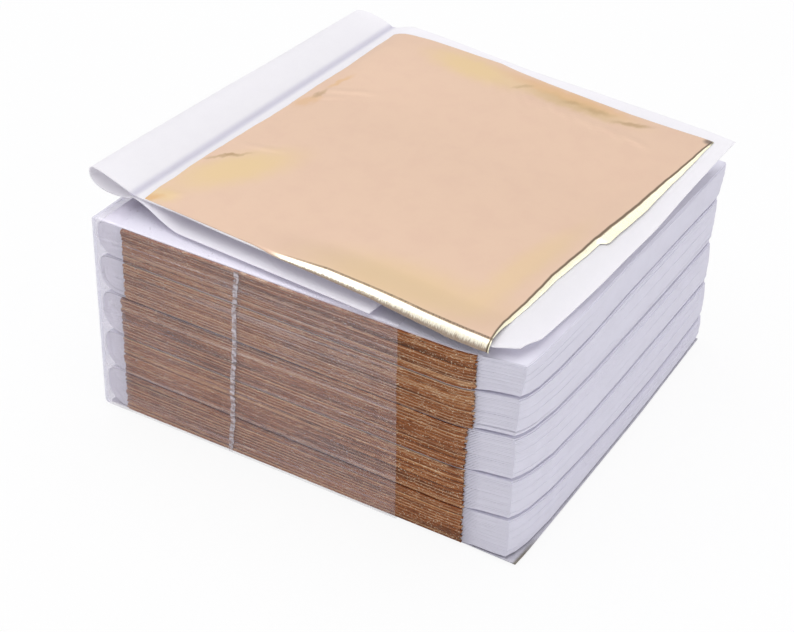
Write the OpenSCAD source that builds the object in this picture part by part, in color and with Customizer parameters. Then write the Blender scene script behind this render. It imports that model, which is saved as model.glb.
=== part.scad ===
// Block of five booklets of imitation gold leaf in a clear film sleeve, with one leaf on a loose folded tissue on top.
// Each booklet is a signature: folded tissues nested in one another, with a leaf of metal between every two pages.
// X runs from the folded spines to the open page ends, Y from the front to the back, and Z up.
// The origin is on the surface that the sleeve rests on, below the middle of the block.

/* [Tissue pages] */
// Length of a page, from the spine to its open end
page_l = 95; // [92:0.5:110]
// Width of a page, along the spine
page_w = 89; // [86:0.2:110]
// Thickness drawn for one tissue page
page_t = 0.2; // [0.12:0.01:0.21]
// How far the page ends wander in and out
page_wander = 0.18; // [0:0.02:0.3]
// How far the topmost page ends stand out past the others
page_lean = 1.5; // [0:0.1:2]

/* [Gold leaf] */
// Length of a leaf, along X
leaf_l = 80; // [60:0.5:82]
// Width of a leaf, along Y
leaf_w = 85; // [60:0.5:86]
// Thickness drawn for one leaf
leaf_t = 0.06; // [0.04:0.01:0.07]
// How far the front edges of the leaves stand proud of the tissue
leaf_proud = 0.25; // [0:0.05:0.35]
// Space between the round of the fold and the start of a leaf
leaf_inset = 0.4; // [0.3:0.1:2]
// How far the leaves of the upper booklets lie to the right of the others
leaf_shift = 1.2; // [0:0.1:2]

/* [Booklets] */
// Height that one page and one leaf take up together in the lowest booklet
pitch_low = 0.374; // [0.36:0.002:0.45]
// How much lower that height is in each booklet than in the one below it
pitch_drop = 0.016; // [0:0.001:0.017]
// Folded tissues in one booklet
folios = 13; // [6:1:14]
// Air between two booklets
booklet_gap = 0.06; // [0.04:0.01:0.2]

/* [Base sheet] */
// Thickness of the sheet under the lowest booklet
base_t = 0.3; // [0.2:0.05:0.6]
// How far the sheet reaches past the open page ends
base_tip = 1.4; // [0:0.1:3]

/* [Film sleeve] */
// Thickness drawn for the film
film_t = 0.2; // [0.1:0.05:0.4]
// How much of the block's length the sleeve covers
sleeve_l = 70.2; // [40:0.5:90]
// Space between the spines and the closed end
end_gap = 1.3; // [0.6:0.1:3]
// Space between the tissue and the front or back panel
side_gap = 0.5; // [0.4:0.05:1]
// Space between the top page and the top panel
top_gap = 0.35; // [0.3:0.05:1]
// Space between the base sheet and the bottom panel
floor_gap = 0.1; // [0.1:0.05:0.5]
// Inner radius of the bends along the block
bend_r = 0.6; // [0.3:0.1:0.8]
// Inner radius of the bends round the closed end
end_r = 1.8; // [0.6:0.1:2]
// Distance of the heat seal from the spines
seal_x = 33; // [10:0.5:60]
// Width of the heat seal
seal_w = 1.2; // [0.6:0.1:3]
// How far the heat seal stands out from the film
seal_t = 0.12; // [0.06:0.02:0.3]

/* [Loose folio] */
// Distance of the pinch from the spines
pinch_x = 5.1; // [4:0.2:20]
// Distance of the pinch from the front of the block
pinch_y = 5.8; // [2:0.2:12]
// Angle that the folio is turned by, seen from above
folio_turn = -4.4; // [-8:0.2:8]
// Height of the pinch above the sleeve, at the front
pinch_h = 3.3; // [2.8:0.1:8]
// How much higher the pinch is at the back
pinch_rise = 2.8; // [0:0.1:5]
// Air between the two strands at the pinch
pinch_gap = 0.5; // [0.4:0.05:1]
// Space at the fold line that lets the upper page turn back over the loop
fold_gap = 0.8; // [0.7:0.1:1]
// Length of the loop at the front
loop_l = 13.6; // [8:0.5:16]
// How much shorter the loop is at the back
loop_taper = 2.6; // [0:0.2:5]
// Height of the loop
loop_h = 3.6; // [2:0.1:4]
// Length of the upper page, from the pinch
upper_l = 89; // [86:0.5:100]
// How much lower the upper page is at its open end
upper_drop = 1.3; // [0:0.1:2]
// Length of the lower page, from the pinch
lower_l = 58.7; // [30:0.5:80]
// How far the lower page reaches in front of the upper one
lower_lead = 1.6; // [0:0.2:2]
// Length over which the lower page comes down to the sleeve
lower_fall = 13; // [8:0.5:20]
// Air between the lower page and the sleeve
lower_gap = 0.1; // [0.05:0.05:0.3]

/* [Top leaf] */
// Distance of the top leaf from the pinch
top_leaf_x = 4; // [2:0.5:6]
// How high the top leaf stands on its turned-down rim
rim_h = 0.7; // [0.4:0.1:1.5]
// How far its front edge hangs down at the right-hand corner
hang_h = 2.4; // [0.8:0.1:3]
// Length of the front edge that hangs down
hang_l = 47; // [10:1:60]
// Distance of the leaf's front edge from that of the page
hang_gap = 0.3; // [0.2:0.05:0.6]

/* [Hidden] */

$fn = 64;
booklets = 5;
// The leaves of this booklet and the ones above it are the shifted ones
first_shifted = 4;
// The page ends lean out above this share of the block's height
lean_start = 0.6;
// Turn between neighbours in the wander of the page ends and leaves, chosen so that it never repeats
wander_turn = 137.5;
loop_steps = 28;
fall_steps = 10;
cut = 1;

spine_x = -(page_l + base_tip) / 2;
front_y = -page_w / 2;
base_z = film_t + floor_gap;
stack_z = base_z + base_t + booklet_gap;
stack_top = booklet_z(booklets) + booklet_h(booklets);
sleeve_top = stack_top + top_gap + film_t;
leaf_start = booklet_h(1) / 2 + leaf_inset;
page_z = sleeve_top + pinch_h;
folio_tilt = atan(pinch_rise / page_w);
upper_fall = atan(upper_drop / upper_l);

tissue = [0.94, 0.93, 0.97];
gold_edge = [0.66, 0.42, 0.24];
gold_face = [0.90, 0.78, 0.66];
film = [0.86, 0.84, 0.90, 0.35];
card = [0.72, 0.69, 0.62];

// Booklets are counted from 1 at the bottom
// Pitches are whole microns, so that arcs and straights of one outline meet exactly
function pitch(k) = round(1000 * (pitch_low - (k - 1) * pitch_drop)) / 1000;
function booklet_h(k) = 2 * folios * pitch(k);
function booklet_z(k) = k == 1 ? stack_z : booklet_z(k - 1) + booklet_h(k - 1) + booklet_gap;
function wander(k, n) = page_wander * sin(wander_turn * (n + 7 * k));
function lean(z) = page_lean * pow(max(0, (z / stack_top - lean_start) / (1 - lean_start)), 2);
function shift(k) = k >= first_shifted ? leaf_shift : 0;

// Outline of one folded tissue: half a ring round the fold, then a leg below and a leg above it
module folded_outline(r, lower_leg, upper_leg) {
    difference() {
        circle(r = r);
        circle(r = r - page_t);
        translate([0, -r - cut]) square([r + cut, 2 * (r + cut)]);
    }
    translate([0, -r]) square([lower_leg, page_t]);
    translate([0, r - page_t]) square([upper_leg, page_t]);
}

// Folio n of booklet k, counted from 0 at the outside
module folio(k, n) {
    fold_r = booklet_h(k) / 2;
    mid_z = booklet_z(k) + fold_r;
    r = fold_r - n * pitch(k);
    lower_leg = page_l - fold_r + lean(mid_z - r) + wander(k, n);
    upper_leg = page_l - fold_r + lean(mid_z + r) + wander(k, 2 * folios - n);
    translate([spine_x + fold_r, front_y + page_w, mid_z])
        rotate([90, 0, 0])
            linear_extrude(page_w)
                folded_outline(r, lower_leg, upper_leg);
}

// Leaf n of booklet k, counted upwards from 1; leaf number folios lies in the middle of the innermost folio
function leaf_z(k, n) =
    let (air = (pitch(k) - page_t - leaf_t) / 2)
    booklet_z(k) + n * pitch(k) + (n < folios ? -air - leaf_t : n > folios ? air : -leaf_t / 2);

module leaf(k, n) {
    translate([spine_x + leaf_start + shift(k) + wander(k, n) / 2, front_y - leaf_proud, leaf_z(k, n)])
        cube([leaf_l, leaf_w, leaf_t]);
}

module cover_folio(k) {
    color(tissue) folio(k, 0);
}

module inner_folios(k) {
    color(tissue) for (n = [1:folios - 1]) folio(k, n);
}

module lower_leaves(k) {
    color(gold_edge) for (n = [1:folios]) leaf(k, n);
}

module upper_leaves(k) {
    color(gold_edge) for (n = [folios + 1:2 * folios - 1]) leaf(k, n);
}

module base_sheet() {
    color(card)
        translate([spine_x, front_y, base_z])
            cube([page_l + base_tip, page_w, base_t]);
}

// Rectangle with its corner at the origin, round at its two left-hand corners
module end_rounded(l, h, r) {
    translate([r, 0]) square([l - r, h]);
    translate([0, r]) square([l, h - 2 * r]);
    for (y = [r, h - r]) translate([r, y]) circle(r = r);
}

// Rectangle with its corner at the origin, round at all four corners
module all_rounded(w, h, r) {
    translate([r, 0]) square([w - 2 * r, h]);
    translate([0, r]) square([w, h - 2 * r]);
    for (x = [r, w - r]) for (y = [r, h - r]) translate([x, y]) circle(r = r);
}

// Space inside the sleeve, grown by an offset on every closed side and by an extra length at the mouth
module sleeve_space(grow, extra) {
    x = spine_x - end_gap - grow;
    y = front_y - side_gap - grow;
    z = film_t - grow;
    l = end_gap + sleeve_l + grow + extra;
    w = page_w + 2 * (side_gap + grow);
    h = stack_top + top_gap - film_t + 2 * grow;
    intersection() {
        translate([x, y, z]) rotate([90, 0, 90]) linear_extrude(l) all_rounded(w, h, bend_r + grow);
        translate([x, y, z]) linear_extrude(h) end_rounded(l, w, end_r + grow);
        translate([x, y + w, z]) rotate([90, 0, 0]) linear_extrude(w) end_rounded(l, h, end_r + grow);
    }
}

module film_sleeve() {
    seal_foot = film_t / 2;
    color(film) {
        difference() {
            sleeve_space(film_t, 0);
            sleeve_space(0, cut);
        }
        translate([spine_x + seal_x - seal_w / 2, front_y - side_gap - film_t - seal_t, 2 * bend_r])
            cube([seal_w, seal_t + seal_foot, sleeve_top - 4 * bend_r]);
    }
}

// The loose folio stands in its own frame: U along the pages from the pinch, V along the pinch from the front,
// W up from the height of the pinch at the front
module in_folio_frame() {
    translate([spine_x + pinch_x, front_y + pinch_y, page_z]) rotate([0, 0, folio_turn]) children();
}

// Middle line of the sheet at v, as [u, w]: once round the loop, then down to the sleeve and along it
function loop_point(a, v) =
    let (l = loop_l - loop_taper * v / page_w)
    [-l * sin(a), loop_h / 2 * sin(2 * a) + pinch_gap / 2 * cos(a) + pinch_rise * v / page_w];

function fall_point(s, v) =
    let (high = pinch_rise * v / page_w - pinch_gap / 2, low = lower_gap + page_t / 2 - pinch_h)
    [lower_fall * s, high + (low - high) * (1 - cos(180 * s)) / 2];

function sheet_line(v) = concat(
    [for (i = [0:loop_steps]) loop_point(180 * i / loop_steps, v)],
    [for (i = [1:fall_steps]) fall_point(i / fall_steps, v)],
    [[lower_l, lower_gap + page_t / 2 - pinch_h]]
);

// Unit vector square to the line at point i, on its left
function left_of(line, i) =
    let (a = line[max(i - 1, 0)], b = line[min(i + 1, len(line) - 1)], d = (b - a) / norm(b - a))
    [-d[1], d[0]];

// The lower page is drawn forward, bit by bit, from the pinch to where it lies on the sleeve
function lead(u) = lower_lead * min(1, max(0, u / lower_fall));

function thick_row(line, v, side) =
    [for (i = [0:len(line) - 1])
        let (p = line[i] + side * page_t / 2 * left_of(line, i)) [p[0], v - lead(line[i][0]), p[1]]];

// Sheet of one thickness that follows the middle line from the front to the back
module folio_loop_and_lower_page() {
    front = sheet_line(0);
    back = sheet_line(page_w);
    n = len(front);
    rows = [
        thick_row(front, 0, 1), thick_row(front, 0, -1),
        thick_row(back, page_w, -1), thick_row(back, page_w, 1)
    ];
    points = [for (row = rows) each row];
    sides = [
        for (r = [0:3]) for (i = [0:n - 2])
            let (a = r * n + i, b = (r + 1) % 4 * n + i)
            each [[a, b, b + 1], [a, b + 1, a + 1]]
    ];
    ends = [[0, 3 * n, 2 * n], [0, 2 * n, n], [n - 1, 2 * n - 1, 3 * n - 1], [n - 1, 3 * n - 1, 4 * n - 1]];
    color(tissue) in_folio_frame() polyhedron(points, concat(sides, ends), convexity = 6);
}

// The upper page and the leaf lie in the folio's frame, tilted up towards the back and down towards the open end
module on_upper_page() {
    in_folio_frame() translate([0, 0, pinch_gap / 2]) rotate([folio_tilt, 0, 0]) rotate([0, upper_fall, 0]) children();
}

module folio_upper_page() {
    color(tissue)
        on_upper_page()
            translate([fold_gap, hang_gap, -page_t / 2])
                cube([upper_l - fold_gap, page_w, page_t]);
}

// Leaf on a low turned-down rim, with its front edge hanging over the edge of the page
module top_gold_leaf() {
    seat = page_t / 2 + leaf_t / 2;
    color(gold_face)
        on_upper_page() translate([top_leaf_x, 0, seat]) {
            difference() {
                cube([leaf_l, leaf_w, rim_h]);
                translate([leaf_t, leaf_t, -cut]) cube([leaf_l - 2 * leaf_t, leaf_w - 2 * leaf_t, rim_h - leaf_t + cut]);
            }
            translate([0, leaf_t, rim_h])
                rotate([90, 0, 0])
                    linear_extrude(leaf_t)
                        polygon([[leaf_l - hang_l, 0], [leaf_l - hang_l, -rim_h], [leaf_l, -hang_h], [leaf_l, 0]]);
        }
}

film_sleeve();
base_sheet();
cover_folio(1);  // booklet_1_cover_folio
inner_folios(1);  // booklet_1_inner_folios
lower_leaves(1);  // booklet_1_lower_leaves
upper_leaves(1);  // booklet_1_upper_leaves
cover_folio(2);  // booklet_2_cover_folio
inner_folios(2);  // booklet_2_inner_folios
lower_leaves(2);  // booklet_2_lower_leaves
upper_leaves(2);  // booklet_2_upper_leaves
cover_folio(3);  // booklet_3_cover_folio
inner_folios(3);  // booklet_3_inner_folios
lower_leaves(3);  // booklet_3_lower_leaves
upper_leaves(3);  // booklet_3_upper_leaves
cover_folio(4);  // booklet_4_cover_folio
inner_folios(4);  // booklet_4_inner_folios
lower_leaves(4);  // booklet_4_lower_leaves
upper_leaves(4);  // booklet_4_upper_leaves
cover_folio(5);  // booklet_5_cover_folio
inner_folios(5);  // booklet_5_inner_folios
lower_leaves(5);  // booklet_5_lower_leaves
upper_leaves(5);  // booklet_5_upper_leaves
folio_loop_and_lower_page();
folio_upper_page();
top_gold_leaf();
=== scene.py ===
"""Looks of a block of gold leaf booklets in a clear film sleeve, one leaf laid open on a tissue on top."""

import math

import bpy
import numpy as np
from mathutils import Matrix, Vector


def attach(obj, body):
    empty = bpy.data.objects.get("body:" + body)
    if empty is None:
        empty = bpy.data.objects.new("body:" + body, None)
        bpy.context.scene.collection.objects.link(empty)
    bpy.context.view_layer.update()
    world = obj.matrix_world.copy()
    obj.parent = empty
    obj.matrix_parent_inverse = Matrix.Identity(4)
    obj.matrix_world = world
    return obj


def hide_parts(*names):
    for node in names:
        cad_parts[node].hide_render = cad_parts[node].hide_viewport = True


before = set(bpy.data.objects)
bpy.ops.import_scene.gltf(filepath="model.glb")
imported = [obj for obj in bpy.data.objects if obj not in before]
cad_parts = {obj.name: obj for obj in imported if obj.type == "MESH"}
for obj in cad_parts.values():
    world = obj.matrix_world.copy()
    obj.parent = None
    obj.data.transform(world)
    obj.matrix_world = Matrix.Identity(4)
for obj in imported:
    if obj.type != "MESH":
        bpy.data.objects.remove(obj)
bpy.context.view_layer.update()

# Sizes are in millimetres, as in the part's source, and become metres where a mesh takes its place
MM = 0.001

# Booklets
BOOKLETS = 5
FOLIOS = 13
PAGE_L = 95
PAGE_W = 89
PAGE_T = 0.2
PITCH_LOW = 0.374
PITCH_DROP = 0.016
BOOKLET_GAP = 0.06
STACK_Z = 0.66
STACK_TOP = 45.36
SPINE_X = -48.2
FRONT_Y = -44.5
PAGE_LEAN = 1.5
LEAN_START = 0.6

# Gold leaves
LEAF_L = 80
LEAF_W = 85
LEAF_T = 0.04
LEAF_PROUD = 0.25
LEAF_INSET = 0.4
LEAF_SHIFT = 1.2
FIRST_SHIFTED = 4

# Film sleeve
FILM_T = 0.12
MOUTH_X = 22.0
END_X = -49.7
SLEEVE_Y = 45.2
SLEEVE_TOP = 45.91
END_R = 2.0
BEND_R = 0.8
SEAL_X_TOP = -14.1
SEAL_X_LOW = -16.3
SEAL_W = 1.3

# Loose folio, in its own frame: U along the pages from the pinch, V along the pinch from the front, W up
PAGE_Z = 49.21
PINCH = (-43.1, -38.7)
FOLIO_TURN = -4.4
PINCH_H = 3.3
PINCH_RISE = 2.8
PINCH_GAP = 0.5
LOOP_L = 13.6
LOOP_TAPER = 2.6
LOOP_H = 3.6
UPPER_L = 89
UPPER_DROP = 1.3
LOWER_L = 58.7
LOWER_LEAD = 1.6
LOWER_FALL = 13
LOWER_GAP = 0.1
TOP_LEAF_U = 4

# Camera
FOCAL_PX = 1890.66
IMAGE_W = 794
SENSOR = 36
CAMERA_AZ = 29.68
CAMERA_EL = 34.2022
CAMERA_DIST = 411.5163
CAMERA_RIGHT = -3.3806
CAMERA_UP = 11.7935
CAMERA_ROLL = 0.0300


# Making sheets

SMOOTH_ANGLE = math.radians(40)


def smooth(t):
    t = np.clip(t, 0, 1)
    return t * t * (3 - 2 * t)


def chance(seed):
    """A number from 0 to 1 for each seed, always the same one."""
    return np.mod(np.sin(np.asarray(seed, float) * 12.9898 + 4.1) * 43758.5453, 1)


def ripple(t, seed, lengths):
    """Irregular waves along t in millimetres, about from -1 to 1, different for each seed."""
    total = 0
    for i, length in enumerate(lengths):
        total = total + np.sin(2 * np.pi * (t / length + chance(seed + 7.3 * i))) / (i + 1)
    return total / 1.6


def deselect():
    bpy.ops.object.select_all(action="DESELECT")


def move_points(piece, points):
    piece.data.vertices.foreach_set("co", (points * MM).astype(np.float32).ravel())
    piece.data.update()


def read_points(piece):
    points = np.zeros(len(piece.data.vertices) * 3, np.float32)
    piece.data.vertices.foreach_get("co", points)
    return points.reshape(-1, 3).astype(float)


def flat_grid(name, columns, rows):
    """A flat square of cells, one unit wide, which is then laid in place."""
    deselect()
    bpy.ops.mesh.primitive_grid_add(x_subdivisions=columns, y_subdivisions=rows, size=1)
    piece = bpy.context.object
    piece.name = piece.data.name = name
    return piece


def line_number(flat, cells):
    """Which line of a flat grid each point is on, counted from 0."""
    return np.rint((flat + 0.5) * cells).astype(int)


def sheets(name, count, columns, rows, place, marks=None):
    """Thin closed sheets, added flat one above the other and then laid in place.

    place(n, i, j, side) gives their points in millimetres for sheet n, column i, row j, and side 0 below or
    1 above. marks(n, i, j, side) gives three numbers a point, which the finish reads as "marks"."""
    piece = flat_grid(name, columns, rows)
    bpy.ops.object.mode_set(mode="EDIT")
    for n in range(1, count):
        above = (0, 0, n)
        bpy.ops.mesh.primitive_grid_add(x_subdivisions=columns, y_subdivisions=rows, size=1, location=above)
    bpy.ops.mesh.select_all(action="SELECT")
    bpy.ops.mesh.extrude_region_move(TRANSFORM_OT_translate={"value": (0, 0, 0.5)})
    bpy.ops.mesh.select_all(action="SELECT")
    bpy.ops.mesh.normals_make_consistent(inside=False)
    bpy.ops.object.mode_set(mode="OBJECT")
    flat = read_points(piece)
    n = np.floor(flat[:, 2] + 0.01).astype(int)
    side = (flat[:, 2] - n > 0.25).astype(int)
    i, j = line_number(flat[:, 0], columns), line_number(flat[:, 1], rows)
    move_points(piece, np.stack(place(n, i, j, side), axis=1))
    if marks:
        written = piece.data.attributes.new("marks", "FLOAT_VECTOR", "POINT")
        written.data.foreach_set("vector", np.stack(marks(n, i, j, side), axis=1).astype(np.float32).ravel())
    bpy.ops.object.shade_smooth_by_angle(angle=SMOOTH_ANGLE)
    return piece


def finish_with(kind, **settings):
    """Adds one modifier to the active piece and applies it."""
    modifier = bpy.context.object.modifiers.new(kind, kind)
    for name, value in settings.items():
        setattr(modifier, name, value)
    bpy.ops.object.modifier_apply(modifier=modifier.name)


# Shapes of the booklets

PAGE_EDGE_BEVEL = 0.03


def soften_page_edges():
    width = PAGE_EDGE_BEVEL * MM
    finish_with("BEVEL", width=width, segments=1, limit_method="ANGLE", angle_limit=math.radians(50))


def pitch(k):
    return round(1000 * (PITCH_LOW - (k - 1) * PITCH_DROP)) / 1000


def booklet_h(k):
    return 2 * FOLIOS * pitch(k)


def booklet_z(k):
    return STACK_Z + sum(booklet_h(i) + BOOKLET_GAP for i in range(1, k))


def lean(z):
    return PAGE_LEAN * np.maximum(0, (z / STACK_TOP - LEAN_START) / (1 - LEAN_START)) ** 2


# How far the block has settled or puffed up, by height: at the spines, at the leaves' open end, and in the
# white margins past it, where the pages collapse towards the back (one row a height, one column a depth). The
# collapse runs the whole length of a booklet, apart from close under the film's top, so that a booklet drawn
# out cuts less deep into its neighbours
SETTLE_Z = (0.66, 10.44, 19.81, 28.76, 37.3, 45.36)
SETTLE_SPINE = (0, -0.3, -0.6, 0.2, 0.3, 0)
SETTLE_LEAVES = (0, -1.5, -1.5, -0.7, -0.6, -0.5)
SETTLE_Y = (-44.5, -40, -36, -30, -20, 0, 20, 46)
SETTLE_RIGHT = (
    (0, 0, 0, 0, 0, 0, 0, 0),
    (-0.1, -0.6, -1.0, -1.6, -2.6, -3.9, -4.6, -4.1),
    (0, -0.7, -1.4, -2.3, -3.1, -3.4, -3.5, -4.6),
    (1.1, 0.2, -0.2, -0.9, -1.7, -2.2, -2.7, -3.4),
    (1.6, 0.7, 0.4, 0, -0.4, 0, -0.3, -1.4),
    (1.0, 1.1, 1.1, 1.1, 0.7, 0.7, 0.3, -0.8),
)
# How far the right side bows out, by height, the share of that by depth, and how far the back right corner
# fans out, by height
BOW_OUT = (2.0, 2.0, 1.8, 1.5, 1.0, 0.5)
BOW_SHARE = (0, 0.55, 0.8, 0.95, 1, 1, 0.95, 0.6)
FAN_BACK = (1.2, 1.5, 1.7, 1.9, 2.6, 3.1)
LEAVES_END_X = 36
CORNER_X = 46.8


def settled(x, y, z):
    """A point of the block, its pages settled under the leaves and puffed up or collapsed past them."""
    spine = np.interp(z, SETTLE_Z, SETTLE_SPINE)
    leaves = np.interp(z, SETTLE_Z, SETTLE_LEAVES)
    lower = np.clip(np.searchsorted(SETTLE_Z, z, side="right") - 1, 0, len(SETTLE_Z) - 2)
    share = np.clip((z - np.take(SETTLE_Z, lower)) / np.diff(SETTLE_Z)[lower], 0, 1)
    by_height = np.array([np.interp(y, SETTLE_Y, row) for row in SETTLE_RIGHT])
    point = np.arange(len(z))
    right = by_height[lower, point] * (1 - share) + by_height[lower + 1, point] * share
    corner = np.interp(z, SETTLE_Z, [row[0] for row in SETTLE_RIGHT])
    along = np.clip((x - SPINE_X) / (LEAVES_END_X - SPINE_X), 0, 1)
    past = smooth((x - LEAVES_END_X + 4) / (CORNER_X - LEAVES_END_X + 4))
    outwards = past**2 * np.interp(z, SETTLE_Z, BOW_OUT) * np.interp(y, SETTLE_Y, BOW_SHARE)
    backwards = smooth((x - 22) / 24) * np.interp(z, SETTLE_Z, FAN_BACK) * smooth(y / 44)
    under_film = np.clip((z - SETTLE_Z[-2]) / (SETTLE_Z[-1] - SETTLE_Z[-2]), 0, 1) * smooth((40 - x) / 30)
    z = z + (spine + (leaves - spine) * along) * (1 - past)
    z = z + corner * past + (right - corner) * (1 - under_film)
    return x + outwards, y + backwards, z


# Distances from the open ends and the front and back edges of the pages at which they have points
LEG_AT = np.array([0, 0.25, 1.2, 2.8, 4.8, 6.8, 8.6, 10.2, 12, 15, 18, 24, 30, 48, 68, 82])
EDGE_AT = np.array([0, 0.25, 1, 2.6, 6, 14, 28, 44.5])
ROW_AT = np.concatenate([EDGE_AT, PAGE_W - EDGE_AT[-2::-1]])
LEGS = len(LEG_AT)
BENDS = 12
# The upper half of each fold is pressed squarer than the lower one, by this power of a round fold's sine and
# cosine
TOP_FOLD_SQUARE = 0.5
FOLIO_COLUMNS = 2 * LEGS + BENDS
# Where one booklet's lowest pages stand apart from the rest
SPLIT_BOOKLET = 4
SPLIT_LEVEL = 3
FOLIO_ROWS = len(ROW_AT) - 1


def place_folios(k, first):
    """Folded tissues of booklet k, from folio number first inwards."""
    step = pitch(k)
    height = booklet_h(k)
    fold_r = height / 2
    mid_z = booklet_z(k) + fold_r
    fold_x = SPINE_X + fold_r

    def place(n, i, j, side):
        n = n + first
        upper = i > LEGS + BENDS / 2
        in_leg = (i < LEGS) | (i > LEGS + BENDS)
        away = np.where(upper, FOLIO_COLUMNS - i, i)
        level = np.where(upper, 2 * FOLIOS - 1 - n, n)
        level_z = booklet_z(k) + (level + 0.5) * step
        name = 97 * k + level
        middle = 1 - ((level - FOLIOS + 0.5) / FOLIOS) ** 2
        group = np.floor(level / 2.6 + chance(k))
        next_group = np.floor((level + 1) / 2.6 + chance(k))
        open_x = SPINE_X + PAGE_L + lean(level_z) - 0.3 * (1 - middle) + 0.05 * chance(group + 11 * k)
        leg_d = LEG_AT[np.clip(away, 0, LEGS - 1)]
        leg_x = np.where(in_leg, open_x - leg_d, 0)
        turn = np.pi * ((i - LEGS) / BENDS - 0.5)
        square = np.where(turn > 0, TOP_FOLD_SQUARE, 1)
        reach_x = np.abs(np.cos(turn)) ** square
        reach_z = np.sign(turn) * np.abs(np.sin(turn)) ** square
        middle_r = fold_r - (n + 0.5) * step
        row = ROW_AT[j]
        near_x = np.where(in_leg, leg_x, fold_x - middle_r * reach_x)

        past_leaves = smooth((near_x - 37.6) / 1.6)
        at_fold = smooth((fold_x + 1 - near_x) / 1.2)
        from_edge = np.minimum(row, PAGE_W - row)
        seam = np.where(next_group > group, 0.012 + 0.05 * smooth(1 - from_edge / 3), 0.004)
        seam = seam + 0.16 * ((k == SPLIT_BOOKLET) & (level == SPLIT_LEVEL))
        bare = np.maximum(past_leaves, at_fold)
        cover = (n == 0) * smooth(1 - np.minimum(leg_d + 9 * ~in_leg, from_edge) / 1.6) * (0.3 + 0.7 * bare)
        full = step - seam - 0.24 * cover
        thick = PAGE_T + (full - PAGE_T) * np.maximum(past_leaves, 0.85 * at_fold)
        out = np.where(side == 1, -0.5, 0.5) * thick
        leg_z = level_z + np.where(upper, 1, -1) * (out - 0.1 * cover)
        bend_r = np.maximum(middle_r + out, 0.01)
        x = np.where(in_leg, leg_x, fold_x - bend_r * reach_x)
        z = np.where(in_leg, leg_z, mid_z + bend_r * reach_z)

        inward = np.where(row < PAGE_W / 2, 1, -1) * smooth(1 - from_edge / 2.6)
        wave = 0.6 + 0.4 * ripple(x, group + 17 * k + 40 * (row > PAGE_W / 2), (38, 17, 9))
        recess = 0.04 + 0.16 * chance(group + 5 * k) * wave + 0.02 * chance(name)
        recess = recess + (0.02 + 0.14 * bare) * (n == 0)
        y = FRONT_Y + row + inward * recess
        corner = smooth(1 - np.hypot(leg_d, from_edge) / 3.2) * in_leg
        x = x - 0.3 * corner - (0.4 * (n == 0) + 0.15 * (n == 1)) * smooth(1 - leg_d / 1.6) * in_leg
        y = y + inward * 0.25 * corner
        x = x + 0.06 * ripple(y, group + 0.5, (90, 47)) * smooth(1 - leg_d / 3) * in_leg
        return settled(x, y, z)

    return place


LEAF_CELLS = 110
# The hem and the front edge, then points where the pages have them, so that leaves and pages bend alike
LEAF_ROW_AT = np.array([-0.3, 0, 0.25, 1.25, 6.25, 14.25, 28.25, 44.75, 61.25, 75.25, LEAF_W])
LEAF_ROWS = len(LEAF_ROW_AT) - 1


def place_leaves(k, first):
    """Gold leaves of booklet k, from leaf number first upwards, each with its cut front edge bent down."""
    step = pitch(k)
    start_x = SPINE_X + booklet_h(1) / 2 + LEAF_INSET + (LEAF_SHIFT if k >= FIRST_SHIFTED else 0)

    def place(n, i, j, side):
        n = n + first
        name = 131 * k + n
        along = i / LEAF_CELLS
        tooth = np.abs(np.mod((n + 0.5 * k) / 3.6, 1) - 0.5) * 2
        end_x = start_x + LEAF_L - 0.45 * tooth - 0.5 * chance(name) ** 2
        begin_x = start_x - 0.25 + 0.5 * chance(name + 0.4)
        x = begin_x + (end_x - begin_x) * along
        row = LEAF_ROW_AT[j]
        bent = row <= 0
        hem = row < 0
        length = step * (0.66 + 0.08 * ripple(x, name + 0.2, (61, 3.1, 1.7)) + 0.24 * chance(name + 0.9))
        out = 0.02 * ripple(x, name + 0.6, (53, 19, 2.3)) + 0.16 * (chance(name + 0.15) - 0.5)
        y = FRONT_Y - LEAF_PROUD + np.maximum(row, 0) + np.where(bent, -out * 0.5, 0)
        y = y - np.where(hem, 0.03 + 0.05 * chance(name + 0.33), 0) + np.where(hem & (side == 0), LEAF_T, 0)
        z = booklet_z(k) + n * step + np.where(side == 1, 0.5, -0.5) * LEAF_T
        z = np.where(bent & (side == 0), z + 0.01, z)
        z = np.where(hem, booklet_z(k) + n * step - length, z)
        return settled(x, y, z)

    return place


def leaf_edge_marks(k, first):
    """Place along the leaf in millimetres, a number for each leaf, and 1 at the lower edge of its hem."""

    def marks(n, i, j, side):
        return LEAF_L * i / LEAF_CELLS, 29.0 * k + n + first, np.where(j == 0, 1.0, 0.0)

    return marks


BASE_Z = 0.45
BASE_T = 0.24
BASE_CELLS = 30


def place_base_sheet(n, i, j, side):
    """The sheet under the booklets, only its front corner standing out."""
    x = SPINE_X + 0.4 + (PAGE_L + 0.2) * i / BASE_CELLS
    y = FRONT_Y + 0.3 + (PAGE_W - 0.6) * j / BASE_CELLS
    at_right = smooth((x - 34) / 13)
    x = x + at_right * np.interp(y, (-44.5, -40, -20, 12, 45), (1.1, 1.35, 1.4, 1.4, 0.7))
    y = y - 0.25 * at_right * smooth((-31 - y) / 13)
    z = BASE_Z + np.where(side == 1, 0.5, -0.5) * BASE_T
    return x, y, z


def base_marks(n, i, j, side):
    """Millimetres in from the right edge and from the front edge, and place along the right edge."""
    from_front = PAGE_W * j / BASE_CELLS
    return PAGE_L * (1 - i / BASE_CELLS), from_front, FRONT_Y + from_front


# Shapes of the loose folio and the leaf on it

folio_frame = Matrix.Translation((*PINCH, PAGE_Z)) @ Matrix.Rotation(math.radians(FOLIO_TURN), 4, "Z")
page_frame = (
    folio_frame
    @ Matrix.Translation((0, 0, PINCH_GAP / 2))
    @ Matrix.Rotation(math.atan(PINCH_RISE / PAGE_W), 4, "X")
    @ Matrix.Rotation(math.atan(UPPER_DROP / UPPER_L), 4, "Y")
)


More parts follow.
